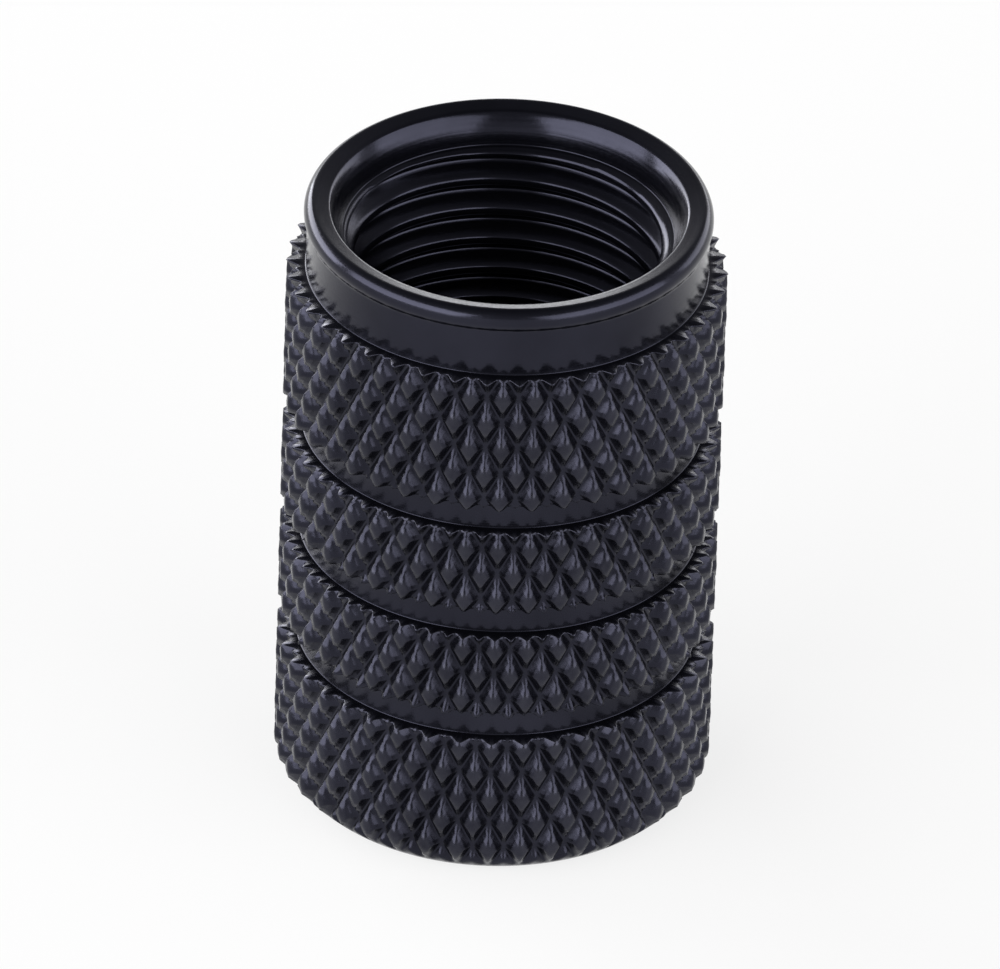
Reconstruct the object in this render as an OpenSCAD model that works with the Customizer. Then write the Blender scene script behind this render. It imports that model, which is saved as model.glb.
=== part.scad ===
// Tyre valve cap, turned and knurled from one bar of aluminium.
// It stands on its closed end. The origin is the centre of the closed
// face and +Z runs along the axis, out of the threaded mouth.
// All sizes are in millimetres.

/* [Body] */
// Height of the cap from its closed face to its lip
cap_length = 15; // [14:0.5:20]
// Chamfer that the knurl ends in at the closed face
end_chamfer = 0.45; // [0.35:0.05:0.6]
// Radius on the edge between that chamfer and the closed face
end_radius = 0.1; // [0.05:0.05:0.2]

/* [Knurl] */
// Diameter over the flat tops of the diamonds
knurl_diameter = 10; // [9.9:0.1:12]
// Height of a diamond from its valley to its top
knurl_depth = 0.28; // [0.2:0.02:0.32]
// Number of diamonds in one turn
knurl_count = 42; // [30:1:48]
// Angle between the knurl lines and the axis
knurl_angle = 29; // [25:1:40]
// Share of a diamond that its flat top takes, along either diagonal
knurl_top = 0.44; // [0.3:0.02:0.6]

/* [Grooves] */
// Number of smooth grooves turned through the knurl
groove_count = 3; // [1:1:3]
// Width of each groove
groove_width = 0.7; // [0.5:0.1:0.9]
// Diameter of the groove floors
groove_diameter = 9.1; // [8.8:0.1:9.2]
// Distance between neighbouring grooves
groove_pitch = 2.8; // [2:0.1:3]
// Distance from the lip to the middle of the first groove
groove_start = 5.45; // [4:0.05:6]

/* [Collar] */
// Diameter of the smooth collar round the mouth
collar_diameter = 9.1; // [8.9:0.05:9.15]
// Length of the collar, from the lip to the knurl
collar_length = 1.7; // [1.3:0.1:2.2]
// Thickness of the round lip
lip_thickness = 0.65; // [0.55:0.05:0.7]
// How far the round lip stands proud of the collar
lip_proud = 0.075; // [0.05:0.025:0.15]

/* [Bore] */
// Diameter over the crests of the internal thread
thread_minor_diameter = 6.9; // [6.8:0.05:7]
// Depth of the threaded hole below the lip, without its drill point
bore_depth = 10; // [8:0.5:10.5]
// Point angle of the drill that made the hole
drill_angle = 118; // [110:2:140]
// Depth of the tapered lead-in below the lip
lead_depth = 0.85; // [0.6:0.05:1]
// Angle of the lead-in's wall to the axis
lead_angle = 20; // [10:1:24]

/* [Hidden] */
$fn = 96;
knurl_r = knurl_diameter / 2;
valley_r = knurl_r - knurl_depth;
face_r = knurl_r - end_chamfer;
groove_r = groove_diameter / 2;
collar_r = collar_diameter / 2;
bore_r = thread_minor_diameter / 2;
lip_r = lip_thickness / 2;
lip_centre = [collar_r + lip_proud - lip_r, cap_length - lip_r];
shoulder_z = cap_length - collar_length;
bore_floor_z = cap_length - bore_depth;
drill_point = bore_r / tan(drill_angle / 2);
// How far a section reaches past the metal that it bounds
overrun = 1;
// One diamond takes this turn of the cap and this length of it
cell_turn = 360 / knurl_count;
cell_rise = PI * knurl_diameter / knurl_count / tan(knurl_angle);
row_rise = cell_rise / 2;
// The knurl starts one row below the closed face and runs past the shoulder
rows = ceil(shoulder_z / row_rise) + 2;

// A point of the knurled bar, by radius, turn and level
function bar_point(r, turns, level) =
    [r * cos(turns * cell_turn), r * sin(turns * cell_turn), (level - 1) * row_rise];

// Valley crossings lie half a cell further round on every other level,
// and the diamonds lie between them
function crossing_turn(level, k) = k + (level % 2) / 2;
function diamond_turn(level, k) = k + ((level + 1) % 2) / 2;

// Numbers of the points: all crossings come first, then four tops a diamond
function crossing(level, k) = level * knurl_count + (k + knurl_count) % knurl_count;
function top_corner(level, k, corner) =
    (rows + 1) * knurl_count + ((level - 1) * knurl_count + k) * 4 + corner;

// The crossings left of, above, right of and below a diamond
function valley_corners(level, k) = [
    crossing(level, k - level % 2),
    crossing(level + 1, k),
    crossing(level, k + 1 - level % 2),
    crossing(level - 1, k)
];

// Four sloping walls and the flat top of one diamond
function diamond_faces(level, k) = let (low = valley_corners(level, k)) concat(
    [for (c = [0 : 3]) let (n = (c + 1) % 4)
        [low[c], low[n], top_corner(level, k, n), top_corner(level, k, c)]],
    [[for (c = [1, 2, 3]) top_corner(level, k, c)],
     [for (c = [1, 3, 0]) top_corner(level, k, c)]]
);

// Bar with a diamond knurl, and a plain length above it for the collar
module knurled_bar() {
    steps = [for (k = [0 : knurl_count - 1]) k];
    crossings = [for (level = [0 : rows], k = steps)
        bar_point(valley_r, crossing_turn(level, k), level)];
    tops = [for (level = [1 : rows - 1], k = steps, offset = [[-1, 0], [0, 1], [1, 0], [0, -1]])
        bar_point(knurl_r, diamond_turn(level, k) + offset[0] * knurl_top / 2,
            level + offset[1] * knurl_top)];
    bar_end = [for (k = steps) let (p = crossings[crossing(rows, k)])
        [p[0], p[1], cap_length + overrun]];
    end_start = len(crossings) + len(tops);
    diamonds = [for (level = [1 : rows - 1], k = steps) each diamond_faces(level, k)];
    first_rim = [for (k = steps) let (low = valley_corners(0, k)) [low[0], low[1], low[2]]];
    last_rim = [for (k = steps) let (low = valley_corners(rows, k)) [low[0], low[2], low[3]]];
    plain_sides = [for (k = steps) let (n = (k + 1) % knurl_count)
        [crossing(rows, k), end_start + k, end_start + n, crossing(rows, n)]];
    first_end = [for (k = steps) crossing(0, k)];
    last_end = [for (k = steps) end_start + knurl_count - 1 - k];
    polyhedron(
        points = concat(crossings, tops, bar_end),
        faces = concat(diamonds, first_rim, last_rim, plain_sides, [first_end, last_end]),
        convexity = 6
    );
}

// Half section of the knurled length: a chamfer with a rounded edge bounds it
// at the closed face, and the grooves cut it. Between them it reaches past the
// bar, so that the diamonds stay whole there.
module knurl_section() {
    reach = knurl_r + overrun;
    run = end_radius * tan(22.5);
    difference() {
        polygon([
            [0, 0],
            [face_r - run, 0],
            [face_r + run * sin(45), run * cos(45)],
            [reach, reach - face_r],
            [reach, shoulder_z],
            [0, shoulder_z]
        ]);
        for (i = [0 : groove_count - 1])
            translate([groove_r, cap_length - groove_start - i * groove_pitch - groove_width / 2])
                square([reach, groove_width]);
    }
    translate([face_r - run, end_radius]) circle(end_radius);
}

// Half section of the collar, up to the middle of the lip
module collar_section() {
    translate([0, shoulder_z]) square([collar_r, lip_centre[1] - shoulder_z]);
}

// Half section of the blind hole, with its ledge and the lead-in, which meets
// the round lip where their walls have the same slope
module bore_section() {
    lead_top = lip_centre + lip_r * [-cos(lead_angle), sin(lead_angle)];
    ledge_z = cap_length - lead_depth;
    ledge_r = lead_top[0] - (lead_top[1] - ledge_z) * tan(lead_angle);
    polygon([
        [0, bore_floor_z - drill_point],
        [bore_r, bore_floor_z],
        [bore_r, ledge_z],
        [ledge_r, ledge_z],
        lead_top,
        [0, lead_top[1]]
    ]);
}

// Half section of the whole cap
module cap_section() {
    difference() {
        union() {
            knurl_section();
            collar_section();
            translate(lip_centre) circle(lip_r);
            translate([0, lip_centre[1]]) square([lip_centre[0], lip_r * sin(lead_angle)]);
        }
        bore_section();
    }
}

// The whole cap: the knurled bar, turned to that section
module cap() {
    color([0.11, 0.11, 0.14]) intersection() {
        knurled_bar();
        rotate_extrude() cap_section();
    }
}

cap();
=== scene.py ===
# %% [markdown]
# A tyre valve cap, standing on its closed end with its threaded mouth up. The
# real one is turned from a bar of aluminium, diamond knurled and black anodised.
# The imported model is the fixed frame, and the cap below is fitted over it.

import bpy
import numpy as np
from mathutils import Matrix, Vector


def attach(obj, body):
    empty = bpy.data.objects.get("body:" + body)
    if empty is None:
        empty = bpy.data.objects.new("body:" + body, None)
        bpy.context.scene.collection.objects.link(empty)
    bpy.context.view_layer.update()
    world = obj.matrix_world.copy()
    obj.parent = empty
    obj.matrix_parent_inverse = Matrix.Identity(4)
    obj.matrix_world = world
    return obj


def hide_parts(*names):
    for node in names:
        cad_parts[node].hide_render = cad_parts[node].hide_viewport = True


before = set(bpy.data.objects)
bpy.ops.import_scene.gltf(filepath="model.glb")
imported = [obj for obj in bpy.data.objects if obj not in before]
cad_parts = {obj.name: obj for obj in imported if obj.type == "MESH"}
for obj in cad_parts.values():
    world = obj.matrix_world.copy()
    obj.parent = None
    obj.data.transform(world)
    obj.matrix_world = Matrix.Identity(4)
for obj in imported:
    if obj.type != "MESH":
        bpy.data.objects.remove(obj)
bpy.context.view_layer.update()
MM = 0.001

# %% [markdown]
# The cap's sizes, in millimetres and degrees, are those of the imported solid.
# Heights are counted from the closed face, which is where the cap stands.

# %% Sizes of the outside
LENGTH = 15.0
KNURL_R = 5.0
VALLEY_R = 4.72
KNURL_ANGLE = 29
DIAMONDS = 42
FACE_R = 4.55
FACE_EDGE = 0.1
GROOVE_R = 4.55
GROOVE_WIDTH = 0.7
GROOVE_START = 5.45
GROOVE_PITCH = 2.8
GROOVE_MIDDLES = [LENGTH - GROOVE_START - GROOVE_PITCH * i for i in (2, 1, 0)]
SHOULDER_Z = 13.3
COLLAR_R = 4.55
print("middles of the grooves:", np.round(GROOVE_MIDDLES, 2))

# %% Sizes of the mouth and the bore
LIP_R = 0.325
LIP_OUTER_R = 4.625
LIP_CENTRE = (LIP_OUTER_R - LIP_R, LENGTH - LIP_R)
LEAD_SLOPE = 20
LEAD_DEPTH = 0.85
LEDGE_Z = LENGTH - LEAD_DEPTH
THREAD_MINOR_R = 3.45
THREAD_MAJOR_R = 3.875
THREAD_PITCH = 25.4 / 32
BORE_FLOOR_Z = 5.0
DRILL_ANGLE = 118
DRILL_TIP_Z = BORE_FLOOR_Z - THREAD_MINOR_R / np.tan(np.radians(DRILL_ANGLE / 2))
print("ledge at", LEDGE_Z, "drill tip at", round(DRILL_TIP_Z, 2))

# %% [markdown]
# A knurling wheel presses two families of valleys into the bar. They wind round
# it both ways and leave flat-topped diamonds between them. One diamond could be
# copied round the bar, but the copies would have seams. A formula gives the
# height at any point instead. Two running numbers count the valleys: one is the
# turn plus the height, the other the turn minus the height, both in diamonds.
# Each is whole on a valley of its family, so the nearer valley gives the height.
# The real tops have soft edges and the valleys are rounded, because the bath
# takes off what is sharp, and so the flanks are a ramp with rounded corners.

# %% Height of the knurl
CELL_RISE = np.pi * 2 * KNURL_R / DIAMONDS / np.tan(np.radians(KNURL_ANGLE))
# Where a flank starts and ends, as shares of the way from a valley to the middle of
# a diamond, and how widely its corners are rounded
VALLEY_EDGE, TOP_EDGE = 0.10, 0.60
CORNER_EASE = 0.05


def soft_ramp(x, low, high, ease):
    """Rises from 0 at low to 1 at high, straight between.

    Each corner is a hyperbola, the mean of a line and the root of its square
    plus ease squared, so it is rounded over about ease.
    """
    t, e = (x - low) / (high - low), ease / (high - low)
    rise = 0.5 * (t + np.sqrt(t * t + e * e))
    room = 1 - rise
    return np.clip(1 - 0.5 * (room + np.sqrt(room * room + e * e)), 0, 1)


def knurl_height(turn, z):
    """Height of the knurl from 0 in the valleys to 1 on the tops.

    A triangle wave of turn plus z, and one of turn minus z, are 0 on the valley
    lines and 1 between them. The smaller of the two runs through the soft ramp.
    """
    a, b = turn + z / CELL_RISE + 0.5, turn - z / CELL_RISE + 0.5
    nearer = 1 - np.maximum(np.abs(2 * (a % 1) - 1), np.abs(2 * (b % 1) - 1))
    return soft_ramp(nearer, VALLEY_EDGE, TOP_EDGE, CORNER_EASE)


print("a diamond is", round(CELL_RISE, 3), "mm long and",
      round(np.pi * 2 * KNURL_R / DIAMONDS, 3), "mm round")

# %% [markdown]
# The real cap is one piece of metal, so the model is one closed skin. It could
# be a spun section with the knurl cut by a boolean, but that leaves thin and
# doubled faces. Here it is built as a stack of rings: up the outside, over the
# lip and down to the ledge in the mouth. Every second ring of the knurl is
# turned by half a step, so that the edges between rings run along both families
# of valleys and the diamonds keep crisp sides with few faces.

# %% A stack of rings
STEPS = 8
COLUMNS = DIAMONDS * STEPS
rings = []


def even_turns(shift):
    """Evenly spaced turns of a ring's points, in diamonds, shifted by a share of a step."""
    return (np.arange(COLUMNS) + shift) / STEPS


def other_shift():
    """The shift that the last ring doesn't have, 0 or a half."""
    return 0.5 - rings[-1]["shift"] if rings else 0.0


def add_ring(r, z, shift, turn=None, height=0.0, knurled=0.0, worn_and_sheen=0.0):
    """Adds a ring of points, with its radii, heights and marks for the finish."""
    ring = {"turn": even_turns(shift) if turn is None else turn, "r": r, "z": z,
            "height": height, "knurled": knurled, "worn_and_sheen": worn_and_sheen}
    ring = {key: np.broadcast_to(np.asarray(value, float), (COLUMNS,))
            for key, value in ring.items()}
    rings.append({**ring, "shift": shift})


print("points in a ring:", COLUMNS)

# %% [markdown]
# A land is the knurled length between two grooves. Its rings are drawn together
# where the surface bends, at the valleys and at the edges of the tops, so that
# these come out sharp without more faces. Where a land meets a groove or the
# shoulder, the tool leaves a small broken edge, and two level rings make it.

# %% Rings of a knurled land
ROW = CELL_RISE / STEPS / 2
# Share of a row that stays free at the ends of a land
ROW_GAP = 0.3
EDGE_BREAK = 0.025
# Length over which the warp fades at the ends of a land
WARP_FADE = 0.3
# Even steps across a cell, and where they are moved to
WARP_FROM = np.arange(STEPS + 1) / STEPS
WARP_TO = np.array([0, 0.05, 0.17, 0.30, 0.5, 0.70, 0.83, 0.95, 1.0])


def warp(x, amount):
    """Moves evenly spaced steps of a cell to where the knurl bends, by a share of the way."""
    return x + amount * (np.floor(x) + np.interp(x % 1, WARP_FROM, WARP_TO) - x)


def land_ring(z, low, high):
    """Adds a ring of a knurled land that lies between two heights.

    The running numbers of both valley families are warped and turned back into
    a turn and a height. The warp fades out towards the ends of the land, so that
    its end rings stay level. The chamfer at the closed face, which rises at 45
    degrees, limits the radius.
    """
    shift = 0.5 * (round(z / ROW) % 2)
    turn = even_turns(shift)
    near_end = np.clip(min(z - low, high - z) / WARP_FADE, 0, 1)
    amount = near_end * near_end * (3 - 2 * near_end)
    a = warp(turn + z / CELL_RISE + 0.5, amount)
    b = warp(turn - z / CELL_RISE + 0.5, amount)
    turn, z = (a + b) / 2 - 0.5, (a - b) / 2 * CELL_RISE
    height = knurl_height(turn, z)
    r = np.minimum(VALLEY_R + (KNURL_R - VALLEY_R) * height, FACE_R + z)
    add_ring(r, z, shift, turn, height, knurled=1.0)


def end_rings(z, inward):
    """Adds the broken edge where a land meets a wall at height z, inward being 1 up or -1 down."""
    for step in (0, 1) if inward > 0 else (1, 0):
        shift = other_shift()
        height = knurl_height(even_turns(shift), z)
        r = VALLEY_R + (KNURL_R - VALLEY_R) * height - EDGE_BREAK * (1 - step)
        # The broken edge gets the lighter tone of rubbed wear and painted highlight
        add_ring(r, z + inward * EDGE_BREAK * step, shift, height=height, knurled=1.0, worn_and_sheen=1.0)


def land(low, high, chamfered=False):
    """Adds all rings of a knurled land from low to high. A chamfered one has no wall below it."""
    if not chamfered:
        end_rings(low, 1)
    first = np.ceil((low + EDGE_BREAK) / ROW + ROW_GAP)
    last = np.floor((high - EDGE_BREAK) / ROW - ROW_GAP)
    for level in np.arange(first, last + 1):
        land_ring(level * ROW, low - (WARP_FADE if chamfered else 0), high)
    end_rings(high, -1)


print("a row of the knurl is", round(ROW, 3), "mm high")

# %% [markdown]
# The closed face, the grooves and the shoulder are turned, so their rings are
# level. A list of radius and height pairs draws each of them, as a lathe's tool
# would follow it, with a small arc in every inner corner.

# %% Closed end, lands and grooves
FILLET = 0.025
ARC_POINTS = 4
FACE_RINGS = (2.4, 4.3)
# Height between the closed face's rounded edge and the first knurled row
CHAMFER_GAP = 0.01


def curve_rings(points):
    """Adds level rings along a list of radius and height pairs, each turned half a step on."""
    for r, z in points:
        add_ring(r, z, other_shift())


def arc(centre_r, centre_z, radius, start, stop):
    """Points of an arc in the half section, its angles in degrees from the outward direction."""
    angles = np.radians(np.linspace(start, stop, ARC_POINTS))
    return [(centre_r + radius * np.cos(t), centre_z + radius * np.sin(t)) for t in angles]


# The arc turns from the level face into the chamfer of 45 degrees
edge_run = FACE_EDGE * np.tan(np.radians(45 / 2))
curve_rings([(r, 0) for r in FACE_RINGS])
curve_rings(arc(FACE_R - edge_run, FACE_EDGE, FACE_EDGE, -90, -45))
bottom = rings[-1]["z"][0] + CHAMFER_GAP
for middle in GROOVE_MIDDLES:
    low, high = middle - GROOVE_WIDTH / 2, middle + GROOVE_WIDTH / 2
    land(bottom, low, chamfered=middle == GROOVE_MIDDLES[0])
    curve_rings(arc(GROOVE_R + FILLET, low + FILLET, FILLET, 270, 180))
    curve_rings([(GROOVE_R, middle)])
    curve_rings(arc(GROOVE_R + FILLET, high - FILLET, FILLET, 180, 90))
    bottom = high
land(bottom, SHOULDER_Z)
curve_rings(arc(COLLAR_R + FILLET, SHOULDER_Z + FILLET, FILLET, 270, 180))
print("rings up to the collar:", len(rings))

# %% [markdown]
# The mouth starts with a smooth collar, and its lip is a round bead that stands
# a little proud of it. The bead's top is faced to a narrow flat that slopes
# inward. Inside, a lead-in guides the valve stem: it opens like a shallow bell,
# steeper towards the level ledge that ends it. A bevel could round a plain lip,
# but the light shows each of these curves, so each has its own formula.

# %% Curves of the lip and the lead-in
# The flat's slope, how far it reaches round the bead to either side of its middle,
# and the power that rounds its corners, a higher one less
FLAT_TILT = 14
FLAT_REACH = 35
FLAT_CORNER = 40.0
LEAST_COSINE = 0.05
# Slope at which the bell leaves the bead
BELL_START = 34
BELL_STEPS = 8


def lip_point(angle):
    """Point of the lip at an angle in degrees, 0 being outward from the bead's centre.

    Its distance from the centre is the smaller of the bead's radius and the
    distance of the faced flat, which is a straight chord. A mean of their high
    negative powers takes the smaller one and rounds the corners between them.
    """
    t = np.radians(angle)
    towards_flat = np.maximum(np.cos(t - np.radians(90 + FLAT_TILT)), LEAST_COSINE)
    chord = LIP_R * np.cos(np.radians(FLAT_REACH)) / towards_flat
    reach = (LIP_R ** -FLAT_CORNER + chord ** -FLAT_CORNER) ** (-1 / FLAT_CORNER)
    return LIP_CENTRE[0] + reach * np.cos(t), LIP_CENTRE[1] + reach * np.sin(t)


def bell(start, end, slope):
    """Circular arc from start, which leaves at slope to the axis, to end, without its first point.

    The chord's own slope is the mean of the slopes at both ends. The arc turns
    evenly, so at each share of the way its direction is known and is summed up.
    """
    chord = np.degrees(np.arctan2(start[0] - end[0], start[1] - end[1]))
    shares = (np.arange(BELL_STEPS) + 0.5) / BELL_STEPS
    slopes = np.radians(slope + (chord - slope) * 2 * shares)
    path = np.cumsum(np.stack([-np.sin(slopes), -np.cos(slopes)], 1), 0)
    scale = np.hypot(start[0] - end[0], start[1] - end[1]) / np.hypot(*path[-1])
    return [(start[0] + scale * dr, start[1] + scale * dz) for dr, dz in path]


print("top of the lip at", round(max(lip_point(angle)[1] for angle in range(60, 130)), 3))

# %% Rings of the collar, the lip and the lead-in
LIP_POINTS = 28
# Angle round the bead from its foot on the collar to its first point
FOOT_GAP = 4
LEDGE_FILLET = 0.03
# How far the middle of that fillet stands off both walls
LEDGE_FILLET_MIDDLE = 0.008
bead_foot = np.degrees(np.arccos((COLLAR_R - LIP_CENTRE[0]) / LIP_R))
foot_z = LIP_CENTRE[1] - LIP_R * np.sin(np.radians(bead_foot))
# How far each ring of the collar stands proud of it, and its height
COLLAR_RINGS = ((0, SHOULDER_Z + 0.12), (0, 13.9), (0, foot_z - 0.06), (0.003, foot_z - 0.015))
curve_rings([(COLLAR_R + proud, z) for proud, z in COLLAR_RINGS])
lip = [lip_point(angle)
       for angle in np.linspace(FOOT_GAP - bead_foot, 180 - BELL_START, LIP_POINTS)]
curve_rings(lip)
lead_top = lip_point(180 - LEAD_SLOPE)
ledge_r = lead_top[0] - (lead_top[1] - LEDGE_Z) * np.tan(np.radians(LEAD_SLOPE))
curve_rings(bell(lip[-1], (ledge_r, LEDGE_Z + LEDGE_FILLET), BELL_START))
curve_rings([(ledge_r - LEDGE_FILLET_MIDDLE, LEDGE_Z + LEDGE_FILLET_MIDDLE),
             (ledge_r - LEDGE_FILLET, LEDGE_Z)])
print("rings in all:", len(rings), "ledge radius:", round(ledge_r, 3))

# %% [markdown]
# The thread is cut with a pointed tool that moves up one pitch a turn. A Screw
# modifier could sweep its profile, but would leave both of its ends open. Here
# the thread is a wave that climbs round the bore. Its rows follow the helix, so
# the crests are smooth lines however thin they are. Rows that would leave the
# bore are gathered on its level ends: their numbers are limited, column by
# column, so no face is doubled and the skin stays closed.

# %% Skin of the threaded bore
BORE_COLUMNS = COLUMNS // 2
# Phases of the rows in one pitch, closer where the profile bends
THREAD_ROWS = np.array([0, 0.07, 0.13, 0.31, 0.37, 0.43, 0.57, 0.63, 0.69, 0.87, 0.93])
# Where a flank starts and ends, in half pitches from the middle of a crest, and how
# widely its corners are rounded
FLANK_CREST, FLANK_ROOT, THREAD_EASE = 0.22, 0.87, 0.09
THREAD_END_Z = 6.4
# The thread's place at the mouth, as a height and a number of pitches
THREAD_TOP_Z = LEDGE_Z - 0.05
START_PHASE = 1.3
CREST_CHAMFER = 0.12
LEDGE_RIM = 0.06
# Rows nearer than this to an end of the bore are gathered on it
ROW_ROOM = 0.03


def thread_radius(phase, z):
    """Radius of the bore at a phase of the thread, 0 on a root and a half on a crest.

    The flank runs straight between a narrow root and a wider crest flat, with
    rounded corners. Below the thread's end its depth fades to nothing. At the
    ledge the radius is held between a chamfer on the crests and the ledge's own.
    """
    from_crest = np.abs(2 * (phase % 1) - 1)
    depth = soft_ramp(from_crest, FLANK_CREST, FLANK_ROOT, THREAD_EASE)
    fade = np.clip((z - THREAD_END_Z) / THREAD_PITCH + 1, 0, 1)
    r = THREAD_MINOR_R + (THREAD_MAJOR_R - THREAD_MINOR_R) * depth * fade
    below = LEDGE_Z - z
    return np.clip(r, THREAD_MINOR_R + CREST_CHAMFER - below, ledge_r - LEDGE_RIM + below)


def bore_skin():
    """Points of the bore, points[row, column], and the first and last row of each column."""
    turns = np.arange(BORE_COLUMNS) / BORE_COLUMNS
    pitches = int(np.ceil((LEDGE_Z - BORE_FLOOR_Z) / THREAD_PITCH)) + 2
    phase = (np.arange(pitches)[:, None] + THREAD_ROWS[None, :]).ravel()
    z = THREAD_TOP_Z + (phase[:, None] - pitches + START_PHASE + turns[None, :]) * THREAD_PITCH
    first = np.argmax(z > BORE_FLOOR_Z + ROW_ROOM, axis=0) - 1
    last = z.shape[0] - np.argmax(z[::-1] < LEDGE_Z - ROW_ROOM, axis=0)
    columns = np.arange(BORE_COLUMNS)
    z[first, columns], z[last, columns] = BORE_FLOOR_Z, LEDGE_Z
    true_phase = (z - THREAD_TOP_Z) / THREAD_PITCH + pitches - START_PHASE - turns[None, :]
    r = thread_radius(true_phase, z)
    angle = np.broadcast_to(2 * np.pi * turns, z.shape)
    return np.stack([r * np.cos(angle), r * np.sin(angle), z], -1), first, last


bore_points, bore_first, bore_last = bore_skin()
print("rows of the bore:", bore_points.shape[0], "columns:", BORE_COLUMNS)

# %% [markdown]
# Three kinds of strip join the points: one between rings that are turned by half
# a step, one from the ledge's ring to the bore's ring of half as many points, and
# the helical one, where the last column meets the first one pitch further on.
# Blender's bridge tool could fill such gaps, but a rule for the numbers of the
# points is exact, and it leaves no gap or doubled face.


# %% Faces between two rings
def strip(lower, upper):
    """Two triangles a step between two rings, by whichever diagonal suits their shifts."""
    i = np.arange(COLUMNS)
    n = (i + 1) % COLUMNS
    a, b = lower * COLUMNS, upper * COLUMNS
    if rings[lower]["shift"] <= rings[upper]["shift"]:
        faces = [(a + i, a + n, b + i), (a + n, b + n, b + i)]
    else:
        faces = [(a + i, b + n, b + i), (a + i, a + n, b + n)]
    return np.concatenate([np.stack(face, 1) for face in faces])


def half_strip(start, coarse):
    """Three triangles a coarse step, from a ring of points to one of half as many."""
    k = np.arange(BORE_COLUMNS)
    n = (k + 1) % BORE_COLUMNS
    left, middle, right = start + 2 * k, start + 2 * k + 1, start + (2 * k + 2) % COLUMNS
    faces = ((coarse[k], left, middle), (coarse[k], middle, coarse[n]),
             (coarse[n], middle, right))
    return np.concatenate([np.stack(face, 1) for face in faces])


print("triangles between two rings:", len(strip(0, 1)))


# %% Faces of the bore
def helix_faces(start):
    """Two triangles for each pair of rows and columns of the bore, less the gathered ones."""
    rows = bore_points.shape[0]
    i = np.arange(BORE_COLUMNS)
    n = (i + 1) % BORE_COLUMNS
    climb = np.where(n == 0, len(THREAD_ROWS), 0)
    j = np.arange(-len(THREAD_ROWS), rows)[:, None]

    def at(row, column):
        inside = np.clip(row, bore_first[column], bore_last[column])
        return start + inside * BORE_COLUMNS + column

    here, above = at(j, i), at(j + 1, i)
    next_here, next_above = at(j + climb, n), at(j + 1 + climb, n)
    faces = np.concatenate([
        np.stack([here, above, next_here], -1).reshape(-1, 3),
        np.stack([next_here, above, next_above], -1).reshape(-1, 3),
    ])
    gathered = (faces == np.roll(faces, -1, axis=1)).any(1)
    return faces[~gathered]


print("triangles of the bore:", len(helix_faces(0)))


# %% The whole skin
def run_along():
    """Length in mm that the tool has run along the section when it reaches each ring's points.

    It adds up the distances between the mean radius and height of each ring and the next.
    """
    section = np.array([(ring["r"].mean(), ring["z"].mean()) for ring in rings])
    steps = np.hypot(*np.diff(section, axis=0).T)
    return np.repeat(np.concatenate([[0], np.cumsum(steps)]), COLUMNS)


def skin():
    """All points, faces and point marks of the cap, in metres, facing outward.

    The rings come first, then the bore, the middle of the closed face and the
    tip of the drill point. Points that no face uses are left out.
    """
    every = {key: np.concatenate([ring[key] for ring in rings])
             for key in ("turn", "r", "z", "height", "knurled", "worn_and_sheen")}
    angle = every["turn"] * (2 * np.pi / DIAMONDS)
    points = np.stack([every["r"] * np.cos(angle), every["r"] * np.sin(angle), every["z"]], 1)
    bore_start = len(points)
    columns = np.arange(BORE_COLUMNS)
    floor_ring = bore_start + bore_first * BORE_COLUMNS + columns
    mouth_ring = bore_start + bore_last * BORE_COLUMNS + columns
    ends = [[0, 0, 0], [0, 0, DRILL_TIP_Z]]
    points = np.concatenate([points, bore_points.reshape(-1, 3), ends])
    centre, tip = len(points) - 2, len(points) - 1
    i = np.arange(COLUMNS)
    faces = np.concatenate([
        np.stack([np.full(COLUMNS, centre), (i + 1) % COLUMNS, i], 1),
        *[strip(k, k + 1) for k in range(len(rings) - 1)],
        half_strip((len(rings) - 1) * COLUMNS, mouth_ring),
        helix_faces(bore_start),
        np.stack([np.full(BORE_COLUMNS, tip), floor_ring, np.roll(floor_ring, -1)], 1),
    ])
    bare = np.zeros(len(points) - bore_start)
    marks = {key: np.concatenate([every[key], bare]) for key in ("height", "knurled", "worn_and_sheen")}
    marks["run"] = np.concatenate([run_along(), points[bore_start:, 2]])
    used, faces = np.unique(faces, return_inverse=True)
    return points[used] * MM, faces.reshape(-1, 3), {key: marks[key][used] for key in marks}


points, faces, marks = skin()
corners = points[faces]
volume = np.einsum("ij,ij->i", corners[:, 0], np.cross(corners[:, 1], corners[:, 2])).sum() / 6
print("points:", len(points), "triangles:", len(faces), "mm3:", round(volume / MM**3, 1))

# %% [markdown]
# The arrays become one mesh, which stands for the imported solid and moves with
# its body. Four marks go with the points, for the finish to read: how high the
# knurl is, where there is knurl, which edges get the lighter tone of rubbed wear
# and painted highlight, and how far the tool has run. A picture could hold them
# too, but marks need no unwrapping.

# %% Mesh of the cap
mesh = bpy.data.meshes.new("valve_cap")
mesh.from_pydata(points.tolist(), [], faces.tolist())
for key, values in marks.items():
    layer = mesh.attributes.new(key, "FLOAT", "POINT")
    layer.data.foreach_set("value", values.astype(np.float32))
mesh.update()
mesh.shade_smooth()
cap = bpy.data.objects.new("valve_cap", mesh)
bpy.context.scene.collection.objects.link(cap)
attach(cap, "root")
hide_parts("cap")
print("valid mesh:", not mesh.validate(verbose=False))

# %% [markdown]
# In Blender a finish is a tree of nodes. Each node could be made and linked by
# hand, in many lines that say nothing about the metal. A few helpers do that
# here, and the cap, the floor and the room all use them.


# %% Helpers for node trees
def add_node(tree, kind, inputs=(), **settings):
    """Adds a node. Each named input gets a link from an output, or a value of its own."""
    node = tree.nodes.new("ShaderNode" + kind)
    for key, value in settings.items():
        setattr(node, key, value)
    for key, value in dict(inputs).items():
        if isinstance(value, bpy.types.NodeSocket):
            tree.links.new(value, node.inputs[key])
        else:
            node.inputs[key].default_value = value
    return node


def math(tree, operation, first, second):
    """Output of a Math node with two inputs."""
    return add_node(tree, "Math", {0: first, 1: second}, operation=operation).outputs[0]


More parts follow.
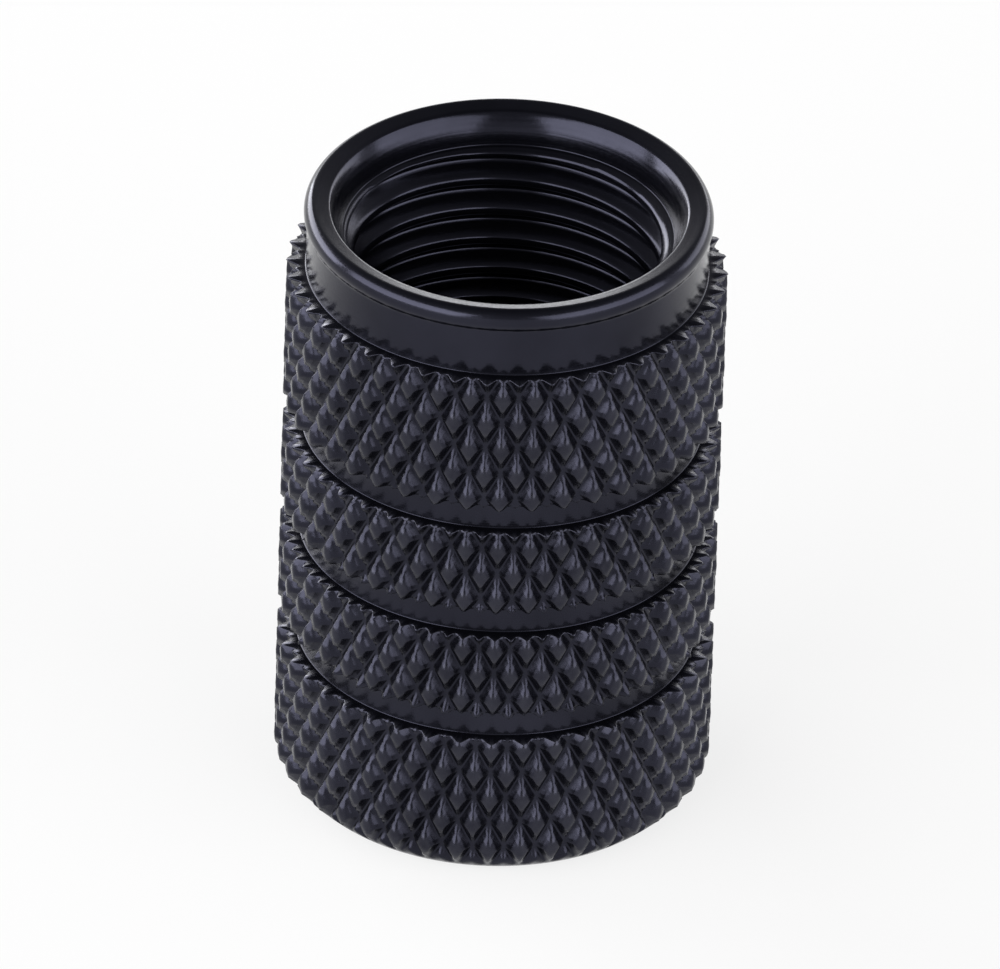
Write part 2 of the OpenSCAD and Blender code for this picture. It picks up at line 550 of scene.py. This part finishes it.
def noise(tree, inputs, **settings):
    """Output of a noise, from 0 to 1 but mostly between 0.3 and 0.7."""
    return add_node(tree, "TexNoise", inputs, **settings).outputs["Fac"]


def spread(tree, source, start, stop):
    """Output that runs from one value to another, as source runs over a range.

    start and stop each hold a value of source and the value that it gives.
    """
    limits = {"From Min": start[0], "From Max": stop[0], "To Min": start[1], "To Max": stop[1]}
    return add_node(tree, "MapRange", {"Value": source, **limits}).outputs["Result"]


def mix_colours(tree, factor, first, second):
    """Output that blends two colours."""
    inputs = {"Factor": factor, "A": first, "B": second}
    return add_node(tree, "Mix", inputs, data_type="RGBA").outputs["Result"]


print("helpers:", [made.__name__ for made in (add_node, math, noise, spread, mix_colours)])

# %% [markdown]
# Black anodising is a clear, dyed layer of oxide over bright metal. It reflects
# like dark satin, with a trace of blue-violet. One dark colour would look like
# paint, so the finish is built up from what happens to the metal. The dye takes
# a little unevenly. Edges and the tops of the diamonds are a little lighter, in
# specks: partly rubbed wear, and partly a painted highlight where light catches them.

# %% Colour of the dye, with rubbed wear and painted highlight
DYE_DARK = (0.0150, 0.0153, 0.0235, 1)
DYE_PALE = (0.0235, 0.0240, 0.0360, 1)
# Lighter tone of edges and knurl tops, partly rubbed wear and partly painted highlight, and how
# much of it each takes
DYE_RUBBED_AND_SHEEN = (0.070, 0.071, 0.088, 1)
EDGE_WEAR_AND_SHEEN, TOP_WEAR_AND_SHEEN = 0.15, 0.3
# Noise cells in a metre
PATCH_SCALE, SPECK_SCALE = 420, 2600


def dye_and_sheen_colour(tree, place, height, worn_and_sheen):
    """Colour output: patches of two near tones, and a lighter one on edges and knurl tops, partly
    rubbed wear and partly painted highlight.
    """
    patches = noise(tree, {"Vector": place, "Scale": PATCH_SCALE, "Detail": 3})
    specks = noise(tree, {"Vector": place, "Scale": SPECK_SCALE, "Detail": 2})
    dye = mix_colours(tree, spread(tree, patches, (0.3, 0), (0.7, 1)), DYE_DARK, DYE_PALE)
    # Painted highlight with some rubbed wear, on edges and the knurl's tops, in specks
    wear_and_sheen = math(tree, "MAXIMUM", spread(tree, worn_and_sheen, (0.5, 0), (1, EDGE_WEAR_AND_SHEEN)),
                  spread(tree, height, (0.8, 0), (1, TOP_WEAR_AND_SHEEN)))
    wear_and_sheen = math(tree, "MULTIPLY", wear_and_sheen, spread(tree, specks, (0.35, 0.3), (0.65, 1)))
    return mix_colours(tree, wear_and_sheen, dye, DYE_RUBBED_AND_SHEEN)


print("cells of a patch and a speck in mm:", round(1 / PATCH_SCALE / MM, 1),
      round(1 / SPECK_SCALE / MM, 2))

# %% [markdown]
# The etch before the bath leaves a fine grain, and the tool leaves fine rings on
# the turned surfaces. Both are far smaller than the mesh's faces. They could be
# bump alone, but they also blur what the metal reflects, so each of them changes
# the roughness too. The valleys of the knurl stay duller than its rubbed tops.

# %% Roughness and relief
SMOOTHEST, ROUGHEST = 0.15, 0.22
RING_ROUGHNESS = 0.03
VALLEY_ROUGHNESS, TOP_ROUGHNESS = 0.12, 0.06
# Depths are in metres
GRAIN_BUMP = {"Strength": 0.15, "Distance": 0.000006}
RING_BUMP = {"Strength": 0.12, "Distance": 0.00001}


def satin_roughness(tree, grain, tool_rings, turned, knurled, height):
    """The grain's roughness, more or less by rings where turned, and more where knurled."""
    satin = spread(tree, grain, (0.3, SMOOTHEST), (0.7, ROUGHEST))
    ringed = spread(tree, tool_rings, (0.3, -RING_ROUGHNESS), (0.7, RING_ROUGHNESS))
    satin = math(tree, "ADD", satin, math(tree, "MULTIPLY", turned, ringed))
    dull = spread(tree, height, (0, VALLEY_ROUGHNESS), (1, TOP_ROUGHNESS))
    return math(tree, "ADD", satin, math(tree, "MULTIPLY", knurled, dull))


def fine_relief(tree, grain, ringed):
    """Normal output with two bumps, the etched grain and the tool rings on top of it."""
    etched = add_node(tree, "Bump", {"Height": grain, **GRAIN_BUMP}).outputs["Normal"]
    inputs = {"Height": ringed, "Normal": etched, **RING_BUMP}
    return add_node(tree, "Bump", inputs).outputs["Normal"]


print("roughness from", round(SMOOTHEST - RING_ROUGHNESS, 2),
      "to", round(ROUGHEST + VALLEY_ROUGHNESS, 2))

# %% [markdown]
# The parts of the finish meet in one shader. The grain lies in space, on Object
# coordinates. The rings follow the run of the tool, so they go round the cap on
# every turned surface, the level ones too.

# %% Anodised finish
METALLIC = 0.9
# Noise cells in a metre, and in a millimetre of the tool's run
GRAIN_SCALE, RING_SCALE = 14000, 16


def anodised_finish():
    """Material of the cap, whose colour, roughness and relief follow the marks on its points."""
    material = bpy.data.materials.new("black_anodised")
    material.use_nodes = True
    tree = material.node_tree
    shader = tree.nodes["Principled BSDF"]
    shader.inputs["Metallic"].default_value = METALLIC
    place = add_node(tree, "TexCoord").outputs["Object"]
    height, knurled, worn_and_sheen, run = (
        add_node(tree, "Attribute", attribute_name=name).outputs["Fac"]
        for name in ("height", "knurled", "worn_and_sheen", "run"))
    turned = math(tree, "SUBTRACT", 1.0, knurled)
    grain = noise(tree, {"Vector": place, "Scale": GRAIN_SCALE, "Detail": 3})
    tool_rings = noise(tree, {"W": run, "Scale": RING_SCALE, "Detail": 3}, noise_dimensions="1D")
    colour = dye_and_sheen_colour(tree, place, height, worn_and_sheen)
    roughness = satin_roughness(tree, grain, tool_rings, turned, knurled, height)
    normal = fine_relief(tree, grain, math(tree, "MULTIPLY", turned, tool_rings))
    for name, output in (("Base Color", colour), ("Roughness", roughness), ("Normal", normal)):
        tree.links.new(output, shader.inputs[name])
    return material


mesh.materials.append(anodised_finish())
print("nodes of the finish:", len(mesh.materials[0].node_tree.nodes))

# %% [markdown]
# The cap stands on a plain pale floor. A plain floor alone would look grey, and
# more light would make it white but also bleach the cap. So it is part glow for
# the camera and for reflections, and part plain for all other rays. It looks
# white and still takes the cap's soft shadow.

# %% Floor
HALF_FLOOR = 1.5
FLOOR_COLOUR = (0.8, 0.8, 0.8, 1)
GLOW_SHARE = 0.75


def floor_finish():
    """Material of the floor: part glow for camera and mirror rays, part plain diffuse."""
    material = bpy.data.materials.new("pale_floor")
    material.use_nodes = True
    tree = material.node_tree
    tree.nodes.clear()
    path = add_node(tree, "LightPath").outputs
    seen = path["Is Camera Ray"]
    for name in ("Is Glossy Ray", "Is Transmission Ray"):
        seen = math(tree, "MAXIMUM", seen, path[name])
    share = math(tree, "MULTIPLY", seen, GLOW_SHARE)
    plain = add_node(tree, "BsdfDiffuse", {"Color": FLOOR_COLOUR}).outputs[0]
    glow = add_node(tree, "Emission", {"Strength": 1.0}).outputs[0]
    mix = add_node(tree, "MixShader", {"Fac": share, 1: plain, 2: glow}).outputs[0]
    add_node(tree, "OutputMaterial", {"Surface": mix})
    return material


floor_mesh = bpy.data.meshes.new("floor")
floor_corners = HALF_FLOOR * np.array([(-1, -1, 0), (1, -1, 0), (1, 1, 0), (-1, 1, 0)])
floor_mesh.from_pydata(floor_corners.tolist(), [], [(0, 1, 2, 3)])
floor_mesh.materials.append(floor_finish())
floor = bpy.data.objects.new("floor", floor_mesh)
bpy.context.scene.collection.objects.link(floor)
print("floor is", 2 * HALF_FLOOR, "m wide")

# %% [markdown]
# Dark satin metal shows little of its own colour, and most of what is seen on it
# is the lamps. Two large soft boxes light the cap from the front, left and right,
# as in a small photo studio, and the dark gap between them keeps the middle of
# each curve dark. Two lower ones behind it brighten the outlines, the left one
# more, and a strip between those draws the thin line on the lip.

# %% Lamps
LAMP_DISTANCE = 0.4
LAMP_AIM = Vector((0, 0, 0.0075))
# Name, azimuth and elevation in degrees, width and height in metres, watts
SOFT_BOXES = (
    ("left_box", -57, 24, 0.54, 0.24, 1.95),
    ("right_box", 57, 24, 0.54, 0.24, 1.3),
    ("left_rim", -128, 14, 0.40, 0.18, 1.6),
    ("right_rim", 128, 14, 0.30, 0.16, 0.4),
    ("back_strip", 180, 6, 0.50, 0.05, 0.2),
)


def facing(target, azimuth, elevation, distance):
    """Placement of a lamp or camera that looks at target, azimuth 0 being the camera's side."""
    a, e = np.radians(azimuth), np.radians(elevation)
    back = Vector((np.sin(a) * np.cos(e), -np.cos(a) * np.cos(e), np.sin(e)))
    turn = (-back).to_track_quat("-Z", "Y").to_matrix().to_4x4()
    return Matrix.Translation(target + back * distance) @ turn


for name, azimuth, elevation, width, height, power in SOFT_BOXES:
    data = bpy.data.lights.new(name, "AREA")
    data.shape, data.size, data.size_y, data.energy = "RECTANGLE", width, height, power
    lamp = bpy.data.objects.new(name, data)
    bpy.context.scene.collection.objects.link(lamp)
    lamp.matrix_world = facing(LAMP_AIM, azimuth, elevation, LAMP_DISTANCE)
print("lamps:", [box[0] for box in SOFT_BOXES])

# %% [markdown]
# The rest of what the metal reflects is the room. An even grey world would make
# it look flat, so the room is white at the horizon, like the far end of a white
# table, and darker with height.

# %% World
# Sine of the elevation, and the room's brightness there
ROOM = ((0.0, 1.0), (0.16, 1.0), (0.36, 0.42), (0.7, 0.28), (1.0, 0.1))
scene = bpy.context.scene
scene.world = scene.world or bpy.data.worlds.new("world")
scene.world.use_nodes = True
world_tree = scene.world.node_tree
direction = add_node(world_tree, "TexCoord").outputs["Generated"]
sine = add_node(world_tree, "SeparateXYZ", {"Vector": direction}).outputs["Z"]
room = add_node(world_tree, "ValToRGB", {"Fac": sine})
stops = room.color_ramp.elements
while len(stops) < len(ROOM):
    stops.new(0.5)
for stop, (position, level) in zip(stops, ROOM):
    stop.position = position
    stop.color = (level, level, level, 1)
world_tree.links.new(room.outputs["Color"], world_tree.nodes["Background"].inputs["Color"])
world_tree.nodes["Background"].inputs["Strength"].default_value = 1.0
scene.view_settings.view_transform = "Standard"
print("stops of the room's brightness:", len(stops))

# %% [markdown]
# The camera looks down at the cap at 33 degrees through a long lens, with the
# slight lean that the photograph has. A long lens keeps the outline's sides
# almost straight, as they are there. The cap fills most of the frame's height.

# %% Camera
ELEVATION = 33.2
LEAN = 1.9
DISTANCE = 0.465
PIXELS_PER_MM = 44
PICTURE_WIDTH = 1000
SENSOR_WIDTH = 36
CAMERA_AIM = Vector((0, 0, 0.0074))
NEAREST, FARTHEST = 0.01, 10
data = bpy.data.cameras.new("camera")
data.sensor_width = SENSOR_WIDTH
data.lens = SENSOR_WIDTH * PIXELS_PER_MM * DISTANCE / MM / PICTURE_WIDTH
data.clip_start, data.clip_end = NEAREST, FARTHEST
camera = bpy.data.objects.new("camera", data)
scene.collection.objects.link(camera)
lean = Matrix.Rotation(np.radians(LEAN), 4, "Z")
camera.matrix_world = facing(CAMERA_AIM, 0, ELEVATION, DISTANCE) @ lean
scene.camera = camera
print("lens in mm:", round(data.lens))
